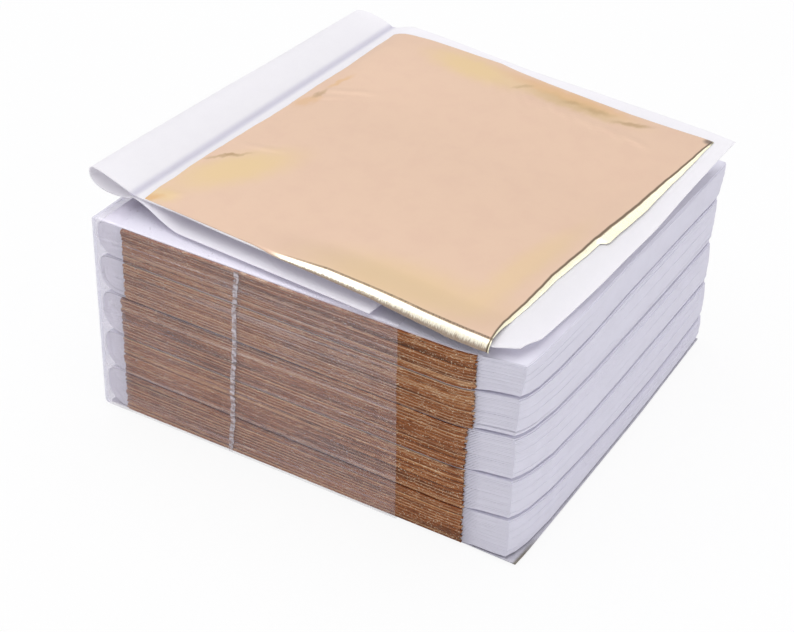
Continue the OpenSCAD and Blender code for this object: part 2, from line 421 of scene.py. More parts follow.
def from_frame(place, u, v, w):
    points = np.stack([u, v, w], axis=1) @ np.array(place.to_3x3()).T + np.array(place.translation)
    return points[:, 0], points[:, 1], points[:, 2]


LOOP_CELLS = 36
FALL_CELLS = 14
LOWER_CELLS = 14
LOOSE_COLUMNS = LOOP_CELLS + FALL_CELLS + LOWER_CELLS
LOOSE_ROWS = 30


def middle_line(i, v):
    """Middle of the loose sheet, U and W, for column i: round the loop, down to the sleeve and along it."""
    turn = np.pi * np.clip(i / LOOP_CELLS, 0, 1)
    fall = np.clip((i - LOOP_CELLS) / FALL_CELLS, 0, 1)
    run = np.clip((i - LOOP_CELLS - FALL_CELLS) / LOWER_CELLS, 0, 1)
    length = LOOP_L - LOOP_TAPER * v / PAGE_W
    rise = PINCH_RISE * v / PAGE_W
    low = LOWER_GAP + PAGE_T / 2 - PINCH_H
    loop_u = -length * np.sin(turn)
    bow = np.sin(2 * turn)
    loop_w = LOOP_H / 2 * np.sign(bow) * np.abs(bow) ** 0.75 + PINCH_GAP / 2 * np.cos(turn) + rise
    start_w = rise - PINCH_GAP / 2
    u = np.where(i <= LOOP_CELLS, loop_u, LOWER_FALL * fall + (LOWER_L - LOWER_FALL) * run)
    w = np.where(i <= LOOP_CELLS, loop_w, start_w + (low - start_w) * (1 - np.cos(np.pi * fall)) / 2)
    return u, w


def place_loose_sheet(n, i, j, side):
    v = PAGE_W * j / LOOSE_ROWS
    before_u, before_w = middle_line(np.maximum(i - 0.3, 0), v)
    after_u, after_w = middle_line(np.minimum(i + 0.3, LOOSE_COLUMNS), v)
    u, w = middle_line(i, v)
    slope = np.hypot(after_u - before_u, after_w - before_w)
    out = np.where(side == 1, 0.5, -0.5) * PAGE_T
    u = u - out * (after_w - before_w) / slope
    w = w + out * (after_u - before_u) / slope
    lead = LOWER_LEAD * np.clip(u / LOWER_FALL, 0, 1)
    in_loop = np.where(i <= LOOP_CELLS, np.sin(np.pi * np.clip(i / LOOP_CELLS, 0, 1)), 0)
    w = w + 0.12 * in_loop * ripple(v, 3.1, (70, 31))
    lead = lead - 2.2 * in_loop**2 * smooth(1 - v / 16)
    return from_frame(folio_frame, u, v - lead, w)


def loop_marks(n, i, j, side):
    """Millimetres from the pinch on the loop's top, place along the pinch, and 1 past the loop."""
    v = PAGE_W * j / LOOSE_ROWS
    u = middle_line(i, v)[0]
    return np.where(i <= LOOP_CELLS / 2, -u, 50.0), v, np.clip((i - LOOP_CELLS) / 4, 0, 1)


PAGE_CELLS = 60
LEAF_EDGE_AT = np.array([0, 0.15, 0.5, 1.2, 2.4, 4])


# How high the back of the upper page stands, by place along it
BACK_RISE_AT = (0, 8, 22, 34, 89)
BACK_RISE = (1.7, 1.9, 1.6, 1.1, 1.2)


def page_sag(u, v):
    """Height of the upper page above its plane: up at its back and front corner, down at its right edge."""
    gentle = 0.07 * ripple(u + 0.4 * v, 1.7, (83, 37)) * smooth(u / 12)
    at_back = smooth((v - 52) / 36) * smooth(u / 6) * np.interp(u, BACK_RISE_AT, BACK_RISE)
    corner = 0.4 * smooth((u - 84) / 6) * smooth(1 - v / 16)
    corner = corner - smooth((u - 80) / 10) * smooth((v - 4) / 16) * (1 - 0.5 * smooth((v - 50) / 30))
    return gentle + at_back + corner


def place_upper_page(n, i, j, side):
    v = PAGE_W * j / PAGE_CELLS
    u = (UPPER_L + 1.3 - 3 * v / PAGE_W) * i / PAGE_CELLS
    cut_back = 2.6 * np.clip((u - 84) / 6.3, 0, 1.2) ** 1.3
    u = u - 1.6 * (1 - smooth(v / 6)) * smooth((u - 76) / 13)
    v = v + cut_back * smooth(1 - v / 20)
    w = page_sag(u, v) + np.where(side == 1, 0.5, -0.5) * PAGE_T
    u = u + 0.2 * ripple(v, 8.2, (64, 23)) * smooth((u - 80) / 9)
    near_edge = np.where(v < PAGE_W / 2, smooth(1 - v / 6), smooth((v - 83) / 6))
    v = v + 0.15 * ripple(u, 5.5, (57, 19)) * near_edge
    return from_frame(page_frame, u, v, w)


def page_marks(n, i, j, side):
    """Millimetres from the pinch, place along the pinch, and 0, as the page has no part past the loop."""
    return UPPER_L * i / PAGE_CELLS, PAGE_W * j / PAGE_CELLS, 0.0 * i


def spread(length, cells, near):
    """Stations along a length, close together near both ends."""
    inner = np.linspace(near[-1], length - near[-1], cells - 2 * len(near) + 3)
    return np.concatenate([near[:-1], inner, length - near[-2::-1]])


TOP_CELLS = 110
TOP_U_AT = spread(LEAF_L, TOP_CELLS, LEAF_EDGE_AT) / LEAF_L
TOP_V_AT = spread(LEAF_W, TOP_CELLS, LEAF_EDGE_AT) / LEAF_W
BENT_AT = np.array([1, 0.86, 0.7, 0.5, 0.3, 0.12])
BENT_CELLS = len(BENT_AT)

# The leaf's front and right margins are bent down along a ridge. By place along the edge: how far the front
# ridge stands back and up, how far the front edge reaches down, and how far the right ridge and the right edge
# stand in
FRONT_AT = (0, 23, 35, 44, 54, 61, 66, 70, 76, 80)
FRONT_RIDGE = (0, 0, 1.1, 2.2, 2.2, 2.1, 1.9, 1.9, 1.9, 1.85)
FRONT_REACH = (0.1, 0.1, 0.1, 0.1, 0.4, 1.0, 1.2, 1.5, 1.5, 1.2)
RIGHT_AT = (0, 6, 24, 40.4, 41.2, 55, 85)
RIGHT_RIDGE = (0.4, 1.5, 2.2, 2.1, 2.0, 1.6, 0.3)
RIGHT_EDGE = (0.2, 0.9, 1.2, 0.9, -0.4, -0.5, 0)
# How far the leaf's left edge lies out towards the pinch, and its back edge towards the page's
LEFT_AT = (0, 4.6, 9, 16, 24, 32, 40, 60, 70, 85)
LEFT_OUT = (1.1, 1.7, 1.6, 1.8, 1.8, 1.5, 1.1, 1.1, 0.5, 0.2)
BACK_AT = (0, 3, 9, 20, 27, 33, 40, 50, 60, 70, 80)
BACK_OUT = (-0.8, 0.3, 1.2, 1.7, 2.2, 1.5, 1.0, 0.5, 0.2, 0.3, 0.6)


def crease(u, v, start, end, width):
    """One soft fold line from start to end, 1 along its ridge."""
    along = np.array(end, float) - np.array(start, float)
    length = np.hypot(*along)
    along = along / length
    run = (u - start[0]) * along[0] + (v - start[1]) * along[1]
    off = -(u - start[0]) * along[1] + (v - start[1]) * along[0]
    off = off + 0.3 * np.sin(run / 2.1 + start[0])
    fade = smooth(run / (0.3 * length)) * smooth((length - run) / (0.5 * length))
    return np.exp(-((off / width) ** 2)) * fade


# Wrinkles of the top leaf from start to end, in millimetres from its front left corner
LEFT_WRINKLES = (
    ((0, 28), (13, 31), 0.5),
    ((0, 56), (14, 62), 0.6),
    ((0, 52), (8, 57), 0.5),
    ((0, 4), (5, 7), 0.5),
)
BACK_WRINKLES = tuple(
    ((28 + 3.1 * n, 81 - 0.3 * n), (33 + 3.2 * n, 74 + 2 * (n % 2)), 0.5) for n in range(13)
)


def flat_leaf(i, j):
    """Place on the flat leaf, and the share from ridge to edge on its bent front and right margins."""
    u = LEAF_L * TOP_U_AT[np.minimum(i, TOP_CELLS)]
    v = LEAF_W * TOP_V_AT[np.maximum(j - BENT_CELLS, 0)]
    front_bent = np.where(j < BENT_CELLS, BENT_AT[np.clip(j, 0, BENT_CELLS - 1)], 0)
    right_bent = np.where(i > TOP_CELLS, BENT_AT[::-1][np.clip(i - TOP_CELLS - 1, 0, BENT_CELLS - 1)], 0)
    return u, v, front_bent, right_bent


def place_top_leaf(n, i, j, side):
    u, v, front_bent, right_bent = flat_leaf(i, j)
    at_front = j < BENT_CELLS
    ridge = np.interp(u, FRONT_AT, FRONT_RIDGE)
    inset = np.interp(v, RIGHT_AT, RIGHT_RIDGE)
    v_ridge = 0.55 * ridge + 0.35 * smooth((34 - u) / 8)
    u_ridge = LEAF_L - inset
    left_out = np.interp(v, LEFT_AT, LEFT_OUT)
    v = v_ridge + v * (LEAF_W + np.interp(u, BACK_AT, BACK_OUT) - v_ridge) / LEAF_W
    u = u * (u_ridge + left_out) / LEAF_L - left_out
    wrinkles = 0
    for start, end, width in LEFT_WRINKLES + BACK_WRINKLES:
        wrinkles = wrinkles + crease(u, v, start, end, width)
    w = PAGE_T / 2 + 0.06 + 0.16 * wrinkles + 0.05 * ripple(u + 0.3 * v, 2.2, (44, 21))
    w = w + page_sag(TOP_LEAF_U + u, v)
    w = w + 0.5 * ridge * smooth(1 - (v - v_ridge) / 9) + 0.3 * inset * smooth(1 - (u_ridge - u) / 6)

    reach = np.interp(u, FRONT_AT, FRONT_REACH) * (1 + 0.06 * ripple(u, 6.6, (7, 3.1, 1.3)))
    w = w - front_bent * (0.5 * ridge + reach)
    v = v - np.sin(front_bent * 1.7) * 0.55 * ridge - 0.42 * smooth(2.2 * front_bent) * smooth((u - 26) / 8)
    edge_u = LEAF_L - np.interp(v, RIGHT_AT, RIGHT_EDGE)
    w = w - np.sin(right_bent * np.pi / 2) * 0.28 * inset
    u = u + right_bent * (edge_u - u_ridge)
    out = np.where(side == 1, 0.5, -0.5) * LEAF_T
    w = w + out * ~at_front
    v = v - out * at_front
    u = u + 0.1 * ripple(v, 9.4, (19, 7, 3)) * (smooth(u / 80) - smooth(1 - u / 80))
    return from_frame(page_frame, TOP_LEAF_U + u, v, w)


def leaf_marks(n, i, j, side):
    """Place on the leaf in millimetres: along its front, in from the front ridge, in from the right ridge.

    On the bent margins the last two go from 0 at the ridge to -1 at the edge."""
    u, v, front_bent, right_bent = flat_leaf(i, j)
    return u, v - front_bent, LEAF_L - u - right_bent


# Shape of the film sleeve

SLEEVE_TURNS = 120
SLEEVE_X_AT = np.array([MOUTH_X, 21.6, 20.4, 18, 14, 8, 2, -4, -10, -16, -22, -28, -34, -40, -44, -47.7])
END_BENDS = 6
END_INSET = np.array([5, 10, 16, 21, 22.9])
SLEEVE_COLUMNS = len(SLEEVE_X_AT) - 1 + END_BENDS + len(END_INSET)


def round_rectangle(t, inset):
    """Point on the sleeve's outline, Y and Z, for t from 0 to 1 round it, moved in by inset."""
    half_y = SLEEVE_Y - inset
    half_z = SLEEVE_TOP / 2 - inset
    r = np.maximum(BEND_R - inset, 0.02)
    r = np.minimum(r, half_z)
    flat_y = 2 * (half_y - r)
    flat_z = 2 * (half_z - r)
    # Sides and bends get fixed shares of the points, so that the loops line up along the sleeve
    starts = np.array([0, 0.28, 0.32, 0.46, 0.5, 0.78, 0.82, 0.96, 1.0])
    part = np.clip(np.searchsorted(starts, t, side="right") - 1, 0, 7)
    f = (t - starts[part]) / (starts[part + 1] - starts[part])
    a = f * np.pi / 2
    side_y, side_z = half_y - r, half_z - r
    bend_sin, bend_cos = r * np.sin(a), r * np.cos(a)
    to_back = [-side_y + f * flat_y, side_y + bend_sin, half_y + 0 * f, side_y + bend_cos]
    to_front = [side_y - f * flat_y, -side_y - bend_sin, -half_y + 0 * f, -side_y - bend_cos]
    downwards = [half_z + 0 * f, side_z + bend_cos, side_z - f * flat_z, -side_z - bend_sin]
    upwards = [-half_z + 0 * f, -side_z - bend_cos, -side_z + f * flat_z, side_z + bend_sin]
    y = np.choose(part, to_back + to_front)
    z = np.choose(part, downwards + upwards)
    return y, z + SLEEVE_TOP / 2


def film_sleeve():
    """A tube of film with a rounded, closed spine end: a flat sheet rolled round the block and shut there."""
    piece = flat_grid("clear_film_sleeve", SLEEVE_COLUMNS, SLEEVE_TURNS)
    flat = read_points(piece)
    i = line_number(flat[:, 0], SLEEVE_COLUMNS)
    t = np.mod(line_number(flat[:, 1], SLEEVE_TURNS) / SLEEVE_TURNS, 1)
    straight = len(SLEEVE_X_AT) - 1
    bend = np.clip((i - straight) / END_BENDS, 0, 1) * np.pi / 2
    cap = np.clip(i - straight - END_BENDS, 0, len(END_INSET))
    x = np.where(i <= straight, SLEEVE_X_AT[np.clip(i, 0, straight)], END_X + END_R - END_R * np.sin(bend))
    inset = np.where(cap > 0, END_INSET[np.clip(cap - 1, 0, None)], END_R * (1 - np.cos(bend)))
    y, z = round_rectangle(t, inset)
    x = np.where(i == 0, MOUTH_X + 0.4 - 0.8 * z / SLEEVE_TOP + 0.12 * ripple(z + y, 4.4, (31, 12)), x)
    side_wave = 0.1 * ripple(x, 2.4, (47, 19)) + 0.06 * ripple(z + 0.5 * x, 8.8, (33, 14))
    y = y + np.sign(y) * np.where(np.abs(y) > SLEEVE_Y - 0.4, np.abs(side_wave), 0) * smooth((z - 0.5) / 4)
    z = z + np.where(z > SLEEVE_TOP - 0.1, 0.08 * np.abs(ripple(y + 0.6 * x, 1.4, (52, 23))), 0)
    move_points(piece, np.stack([x, y, z], axis=1))
    bpy.ops.object.mode_set(mode="EDIT")
    bpy.ops.mesh.select_all(action="SELECT")
    bpy.ops.mesh.remove_doubles(threshold=0.00002)
    bpy.ops.mesh.normals_make_consistent(inside=False)
    bpy.ops.object.mode_set(mode="OBJECT")
    finish_with("SOLIDIFY", thickness=FILM_T * MM, offset=-1)
    bpy.ops.object.shade_smooth_by_angle(angle=SMOOTH_ANGLE)
    return piece


SEAL_COLUMNS = 8
SEAL_ROWS = 150
CRIMP_STEP = 1.15


def place_seal(n, i, j, side):
    """The heat seal on the front: a narrow strip of film pressed into small crimps."""
    across = i / SEAL_COLUMNS - 0.5
    up = j / SEAL_ROWS
    z = 0.9 + (SLEEVE_TOP - 1.6) * up
    x = SEAL_X_LOW + (SEAL_X_TOP - SEAL_X_LOW) * up + across * SEAL_W
    x = x + 0.22 * ripple(z, 3.3, (17, 5, 1.9, 0.9))
    crimp = 0.5 + 0.5 * np.sin(2 * np.pi * z / CRIMP_STEP + 3 * across)
    uneven = 0.4 + 0.6 * chance(np.rint(z / 0.6))
    bulge = (0.05 + 0.07 * crimp * uneven) * smooth((0.5 - np.abs(across)) * 5)
    y = -SLEEVE_Y - 0.12 - np.where(side == 1, bulge, -0.1)
    return x, y, z


def seal_marks(n, i, j, side):
    """Place across and along the seal in millimetres."""
    return SEAL_W * (i / SEAL_COLUMNS - 0.5), SLEEVE_TOP * j / SEAL_ROWS, 0.0 * i


# Finishes


class Wire:
    """An output socket of a finish. Sums and products of wires add their Math nodes."""

    def __init__(self, finish, socket):
        self.finish = finish
        self.socket = socket

    def __add__(self, other):
        return self.finish.math_of("ADD", self, other)

    def __sub__(self, other):
        return self.finish.math_of("SUBTRACT", self, other)

    def __rsub__(self, other):
        return self.finish.math_of("SUBTRACT", other, self)

    def __mul__(self, other):
        return self.finish.math_of("MULTIPLY", self, other)

    __radd__ = __add__
    __rmul__ = __mul__


def colour(red, green, blue):
    """A colour given as 0 to 255 on a screen, as the shader takes it."""
    screen = [c / 255 for c in (red, green, blue)]
    return tuple(c / 12.92 if c <= 0.04045 else ((c + 0.055) / 1.055) ** 2.4 for c in screen) + (1,)


class Nodes:
    """The nodes of a material or of the world."""

    def __init__(self, holder):
        holder.use_nodes = True
        self.tree = holder.node_tree

    def node(self, kind, settings, inputs, output=0):
        made = self.tree.nodes.new("ShaderNode" + kind)
        for name, value in settings.items():
            if name == "stops":
                ramp = made.color_ramp.elements
                while len(ramp) < len(value):
                    ramp.new(0.5)
                for element, (place, shade) in zip(ramp, value):
                    element.position = place
                    element.color = shade
            else:
                setattr(made, name, value)
        for name, value in inputs.items():
            if isinstance(value, Wire):
                self.tree.links.new(value.socket, made.inputs[name])
            else:
                made.inputs[name].default_value = value
        return Wire(self, made.outputs[output])

    def math_of(self, operation, *values):
        return self.node("Math", {"operation": operation}, dict(enumerate(values)))

    def seen_directly(self):
        """1 for rays from the camera, off a shiny surface or through a clear one."""
        kinds = ("Camera", "Glossy", "Transmission")
        camera, glossy, through = (self.node("LightPath", {}, {}, f"Is {kind} Ray") for kind in kinds)
        return self.math_of("MAXIMUM", self.math_of("MAXIMUM", camera, glossy), through)


class Finish(Nodes):
    """One material: its shader's fixed values, and the nodes that change it over the surface."""

    def __init__(self, name, fixed):
        self.material = bpy.data.materials.new(name)
        super().__init__(self.material)
        self.shader = self.tree.nodes["Principled BSDF"]
        for socket, value in fixed.items():
            self.shader.inputs[socket].default_value = value

    def marks(self):
        return self.node("Attribute", {"attribute_name": "marks"}, {}, "Vector")

    def noise(self, stretch, detail, roughness=0.55, source=None, turn=(0, 0, 0)):
        """Noise that is finer along an axis where the stretch is larger."""
        where = source or self.node("TexCoord", {}, {}, "Object")
        where = self.node("Mapping", {}, {"Vector": where, "Scale": stretch, "Rotation": turn})
        inputs = {"Vector": where, "Scale": 1, "Detail": detail, "Roughness": roughness}
        return self.node("TexNoise", {}, inputs)

    def axis(self, name, source=None):
        where = source or self.node("TexCoord", {}, {}, "Object")
        return self.node("SeparateXYZ", {}, {"Vector": where}, name)

    def spot(self, where, centre, reach, turn=0.0):
        """1 round a centre, fading to 0 at its reach along and across, turned by degrees."""
        settings = {"Vector": where, "Location": (*centre, 0), "Rotation": (0, 0, math.radians(turn))}
        local = self.node("Mapping", {"vector_type": "TEXTURE"}, {**settings, "Scale": (*reach, 1000)})
        far = self.node("VectorMath", {"operation": "LENGTH"}, {0: local}, "Value")
        return self.band(far, 1, 0.2)

    def band(self, value, low, high):
        """0 below low, 1 above high, and the other way round where high is the smaller."""
        if low < high:
            limits = {"From Min": low, "From Max": high, "To Min": 0, "To Max": 1}
        else:
            limits = {"From Min": high, "From Max": low, "To Min": 1, "To Max": 0}
        return self.node("MapRange", {"interpolation_type": "SMOOTHSTEP"}, {"Value": value, **limits})

    def ramp(self, value, stops):
        return self.node("ValToRGB", {"stops": stops}, {"Fac": value})

    def mix(self, share, first, second, blend="MIX"):
        settings = {"data_type": "RGBA", "blend_type": blend}
        return self.node("Mix", settings, {0: share, 6: first, 7: second}, 2)

    def bump(self, height, distance, strength=1.0):
        """distance is the height of a full step, in metres."""
        inputs = {"Height": height, "Distance": distance, "Strength": strength}
        self.feed("Normal", self.node("Bump", {}, inputs))

    def blend_in(self, share, shader):
        """Mixes a share of another shader into the material."""
        both = self.node("MixShader", {}, {0: share, 1: Wire(self, self.shader.outputs[0]), 2: shader})
        self.tree.links.new(both.socket, self.tree.nodes["Material Output"].inputs["Surface"])

    def feed(self, socket, wire):
        self.tree.links.new(wire.socket, self.shader.inputs[socket])


BLACK = (0, 0, 0, 1)
PAINTED_UNDER_PAGE_GLOW = (0.07, 0.066, 0.08, 1)


def tissue_finish(name, shade, cloudy=0.6, loose=False):
    """Thin gilder's tissue: matt, with a faint cloudy formation and fine fibres."""
    glow = 1.0 if loose else 0.0
    made = Finish(name, {"IOR": 1.35, "Emission Color": BLACK, "Emission Strength": glow})
    cloud = made.noise((260, 260, 260), 4)
    fibre = made.noise((2600, 700, 2600), 2, turn=(0, 0, 0.5))
    low, high = colour(*[c - 9 for c in shade]), colour(*[min(c + 5, 255) for c in shade])
    tone = made.mix(0.4 + (cloud - 0.5) * cloudy + fibre * 0.3, low, high)
    if loose:
        # Painted shade along the valley at the pinch, on the loop's top and the start of the page
        crease = made.band(made.axis("X", made.marks()), 1.4, 0.2)
        tone = made.mix(crease * 0.55, tone, colour(196, 193, 214))
    made.feed("Base Color", tone)
    made.feed("Roughness", 0.62 + cloud * 0.2)
    made.bump(cloud * 0.6 + fibre * 0.4, 0.00003, 0.4)
    if loose:
        # Painted glow: emission on the lower page stands in for the light the tissues above and below scatter
        # on to it
        made.feed("Emission Color", made.mix(made.axis("Z", made.marks()), BLACK, PAINTED_UNDER_PAGE_GLOW))
        made.feed("Alpha", 0.86 + cloud * 0.04)
        made.blend_in(0.25, made.node("BsdfTranslucent", {}, {"Color": colour(252, 249, 255)}))
    return made.material


def foil_edge_finish():
    """Bent edges of the leaves side by side: brown metal, each leaf its own tone, with painted shade,
    highlights and glints.
    """
    made = Finish("foil_edges", {"IOR": 1.5})
    where = made.marks()
    own = made.noise((0.012, 1.37, 0.2), 2, 0.5, where)
    dash = made.noise((0.35, 1.37, 0.4), 3, 0.65, where)
    drift = made.noise((0.03, 0.11, 0), 2, 0.5, where)
    fine = made.noise((1100, 1100, 3600), 2, 0.7)
    speck = made.noise((2300, 2300, 3600), 2, 0.75)
    hem = made.axis("Z", where)
    tone = made.ramp(
        own * 0.55 + dash * 0.3 + drift * 0.3 + fine * 0.2 - 0.17,
        [
            (0.30, colour(60, 30, 12)),
            (0.42, colour(112, 60, 22)),
            (0.53, colour(150, 84, 34)),
            (0.63, colour(178, 120, 70)),
            (0.76, colour(220, 188, 152)),
        ],
    )
    # Painted highlight: a bright line at the top of some hems, where the bend catches the light
    every_other = made.math_of("FRACT", made.axis("Y", where) * 0.5 + 0.25)
    shine = made.band(own * 0.6 + dash * 0.3 + every_other * 0.24, 0.55, 0.62) * made.band(hem, 0.5, 0.05)
    tone = made.mix(shine * 0.7, tone, colour(232, 204, 172))
    # Painted shade towards the lower edge of each hem
    tone = made.mix(made.band(hem, 0.6, 1) * 0.55, tone, colour(52, 28, 14))
    warmer = made.mix(1.0, tone, (1, 0.86, 0.62, 1), "MULTIPLY")
    tone = made.mix(made.band(made.axis("Z"), 0.036, 0.014) * 0.5, tone, warmer)
    glint = made.band(speck * 0.8 + dash * 0.2, 0.59, 0.64)
    made.feed("Base Color", made.mix(glint, tone, colour(255, 236, 206)))
    made.feed("Metallic", 0.3 + glint * 0.4)
    made.feed("Roughness", 0.45 - glint * 0.2)
    made.bump(fine * 0.6 + speck * 0.4, 0.00008, 0.6)
    return made.material


# Tints on the open leaf, in millimetres along and in from its front left corner: centre, reach, turn in
# degrees and depth. The yellow ones are painted reflections, the olive ones painted shade along creases
PAINTED_YELLOW_REFLECTIONS = (
    ((8, 19), (20, 8), 60, 0.9),
    ((23, 80), (17, 6), -4, 0.9),
    ((48, 81), (24, 3.6), 2, 0.6),
    ((58, 5), (30, 11), 8, 0.65),
    ((74, 24), (5, 26), -5, 0.5),
    ((2, 3), (6, 4), 30, 0.8),
)
PAINTED_OLIVE_CREASE_SHADE = (
    ((3.4, 22.2), (6.6, 0.9), 45, 0.6),
    ((3.4, 22.9), (1.8, 0.7), 30, 0.6),
    ((2.6, 54), (3.4, 1), 84, 0.55),
    ((36, 80.5), (3.6, 0.8), 42, 0.35),
    ((49, 80.6), (17, 3), 1, 0.3),
    ((48.4, 81.4), (3.4, 1.3), 20, 0.35),
    ((54.5, 81.6), (5.2, 1.5), 8, 0.4),
    ((63.4, 81.6), (6, 1.3), 20, 0.6),
)
ORANGE_SHADES = (
    ((0.6, 1), (4, 1.8), 40, 0.9),
    ((2.2, 50), (5, 2.4), 70, 0.5),
    ((3, 60.5), (5.5, 1.1), 80, 0.6),
    ((46, 83), (24, 3), 1, 0.65),
)


def top_leaf_finish():
    """The open leaf's face: satin copper gold, painted with yellow reflections, crease shade and bright bent
    margins.
    """
    made = Finish("gold_leaf_face", {"IOR": 1.6})
    where = made.marks()
    sway = made.node("TexNoise", {}, {"Vector": where, "Scale": 0.35, "Detail": 3}, "Color")
    bent_where = made.node("VectorMath", {"operation": "MULTIPLY_ADD"}, {0: sway, 1: (2.4, 2.4, 0), 2: where})
    bent_where = made.node("VectorMath", {"operation": "SUBTRACT"}, {0: bent_where, 1: (1.2, 1.2, 0)})
    fine = made.noise((0.16, 0.16, 0), 4, 0.6, where)
    grain = made.noise((2600, 2600, 2600), 2)
    tone = made.mix(made.band(fine, 0.4, 0.7), colour(214, 182, 158), colour(212, 179, 156))
    for shades, tint in (
        (PAINTED_YELLOW_REFLECTIONS, colour(215, 186, 138)),
        (ORANGE_SHADES, colour(208, 165, 112)),
        (PAINTED_OLIVE_CREASE_SHADE, colour(160, 128, 82)),
    ):
        for centre, reach, turn, depth in shades:
            tone = made.mix(made.spot(bent_where, centre, reach, turn) * depth, tone, tint)
    along, from_front, from_right = (made.axis(name, where) for name in "XYZ")

    rib = made.noise((1.6, 0.5, 0.6), 2, 0.6, where)
    fleck = made.noise((3.2, 2.4, 3), 2, 0.7, where)
    # Painted reflection: the bent front and right margins are painted near white, as they mirror the white
    # floor
    in_strip = made.band(from_front, -0.04, -0.16) * made.band(along, 30, 36)
    frayed = in_strip * made.band(from_front + fleck * 0.8, 0.02, -0.4)
    beside = made.band(from_right, -0.04, -0.2)
    bent_front_reflection = made.mix(made.band(rib, 0.42, 0.62) * 0.3, colour(255, 250, 232), colour(238, 218, 182))
    tone = made.mix(in_strip, tone, bent_front_reflection)
    tone = made.mix(frayed * 0.8, tone, colour(128, 94, 70))
    tone = made.mix(beside, tone, made.mix(rib * 0.5, colour(255, 252, 230), colour(240, 228, 180)))

    # Painted dark reflection along the ridges where the front and right margins bend down
    front_ridge_dark_reflection = made.band(from_front, 0.36, 0.1) * made.band(from_front, -0.16, -0.03)
    front_ridge_dark_reflection = front_ridge_dark_reflection * made.band(along, 30, 44) * (0.6 + made.band(fleck, 0.4, 0.6) * 0.35)
    right_ridge_dark_reflection = made.band(from_right, 0.48, 0.16) * made.band(from_right, -0.2, -0.04)
    line = made.math_of("MAXIMUM", front_ridge_dark_reflection, right_ridge_dark_reflection)
    tone = made.mix(line * 0.9, tone, colour(78, 60, 30))
    tone = made.mix(made.spot(where, (79.4, 84.4), (1.6, 1.6)) * 0.8, tone, colour(84, 70, 64))
    made.feed("Base Color", tone)
    bright = made.math_of("MAXIMUM", in_strip - frayed, beside)
    made.feed("Metallic", 0.25 + bright * 0.65)
    made.feed("Roughness", 0.34 + grain * 0.12 - bright * 0.12)
    made.bump(fine * 0.6 + grain * 0.2 + rib * bright * 0.8, 0.00006, 0.5)
    return made.material


def film_finish():
    """Clear packing film: mostly see-through, hazy where it is bent, with faint drawn streaks."""
    made = Finish("clear_film", {"IOR": 1.45, "Metallic": 0.7})
    streak = made.noise((14, 14, 1500), 3, 0.6)
    haze = made.noise((70, 70, 70), 3, 0.6)
    by_folds = made.band(made.axis("X"), -0.041, -0.0445)
    speck = made.noise((1500, 1500, 2400), 2, 0.7)
    end = made.noise((120, 120, 160), 2)
    near_end = made.band(made.axis("X") + end * 0.0012, -0.0466, -0.0476)
    made.feed("Base Color", made.mix(near_end, colour(246, 240, 250), colour(238, 236, 250)))
    line = made.band(streak, 0.55, 0.68)
    glint = made.band(speck, 0.66, 0.72) * made.band(haze, 0.4, 0.6)
    made.feed("Alpha", 0.05 + haze * 0.04 + line * 0.08 + by_folds * 0.12 + near_end * 0.14 + glint * 0.3)
    made.feed("Roughness", 0.25 + haze * 0.15)
    made.bump(haze * 0.8 + streak * 0.2, 0.0002, 0.4)
    return made.material


def seal_finish():
    """The heat seal: a soft broken line of faintly whitish film, its brighter dashes painted glints."""
    made = Finish("heat_seal", {"IOR": 1.45, "Base Color": colour(236, 230, 238)})
    where = made.marks()
    dash = made.noise((0.5, 1.1, 1), 3, 0.7, where)
    patch = made.noise((0, 0.3, 1), 2, 0.5, where)
    edge = made.band(made.math_of("ABSOLUTE", made.axis("X", where)), 0.66, 0.42)
    # The dashes and patches are painted glints on the crimps
    made.feed("Alpha", edge * (0.1 + made.band(dash, 0.42, 0.6) * 0.42 + made.band(patch, 0.5, 0.7) * 0.16))
    made.feed("Roughness", 0.3 + dash * 0.2)
    made.bump(dash, 0.00008, 0.4)
    return made.material


def card_finish():
    """Thin pale sheet under the booklets, darker olive along its bare front corner."""
    made = Finish("base_card", {"IOR": 1.4})
    fibre = made.noise((900, 500, 900), 4)
    where = made.marks()
    corner = made.band(made.axis("X", where), 0.9, 0.1) * made.band(made.axis("Z", where), -34, -42)
    tone = made.ramp(fibre, [(0.35, colour(196, 194, 204)), (0.65, colour(214, 212, 222))])
    made.feed("Base Color", made.mix(corner * 0.9, tone, colour(112, 106, 88)))
    made.feed("Roughness", 0.7 + fibre * 0.15)
    made.bump(fibre, 0.00006, 0.6)
    return made.material


# Pieces

tissue = tissue_finish("booklet_tissue", (231, 229, 242))
loose_tissue = tissue_finish("loose_tissue", (252, 250, 255), cloudy=0.12, loose=True)
foil_edges = foil_edge_finish()
gold_face = top_leaf_finish()


def dress(piece, body, material, slot, *nodes):
    piece.data.materials.clear()
    piece.data.materials.append(material)
    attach(piece, body)
    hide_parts(*nodes)


for k in range(1, BOOKLETS + 1):
    body = f"booklet_{k}"
    for kind, node, first, count in (("cover", "cover_folio", 0, 1), ("pages", "inner_folios", 1, FOLIOS - 1)):
        folios = sheets(f"{body}_{kind}", count, FOLIO_COLUMNS, FOLIO_ROWS, place_folios(k, first))
        soften_page_edges()
        dress(folios, body, tissue, "tissue", f"{body}_{node}")
    for half, first, count in (("lower", 1, FOLIOS), ("upper", FOLIOS + 1, FOLIOS - 1)):
        place, marks = place_leaves(k, first), leaf_edge_marks(k, first)
        leaves = sheets(f"{body}_foils_{half}", count, LEAF_CELLS, LEAF_ROWS, place, marks)
        dress(leaves, body, foil_edges, "gold_leaf", f"{body}_{half}_leaves")

base = sheets("base_card_sheet", 1, BASE_CELLS, BASE_CELLS, place_base_sheet, base_marks)
dress(base, "base_sheet", card_finish(), "base_card", "base_sheet")

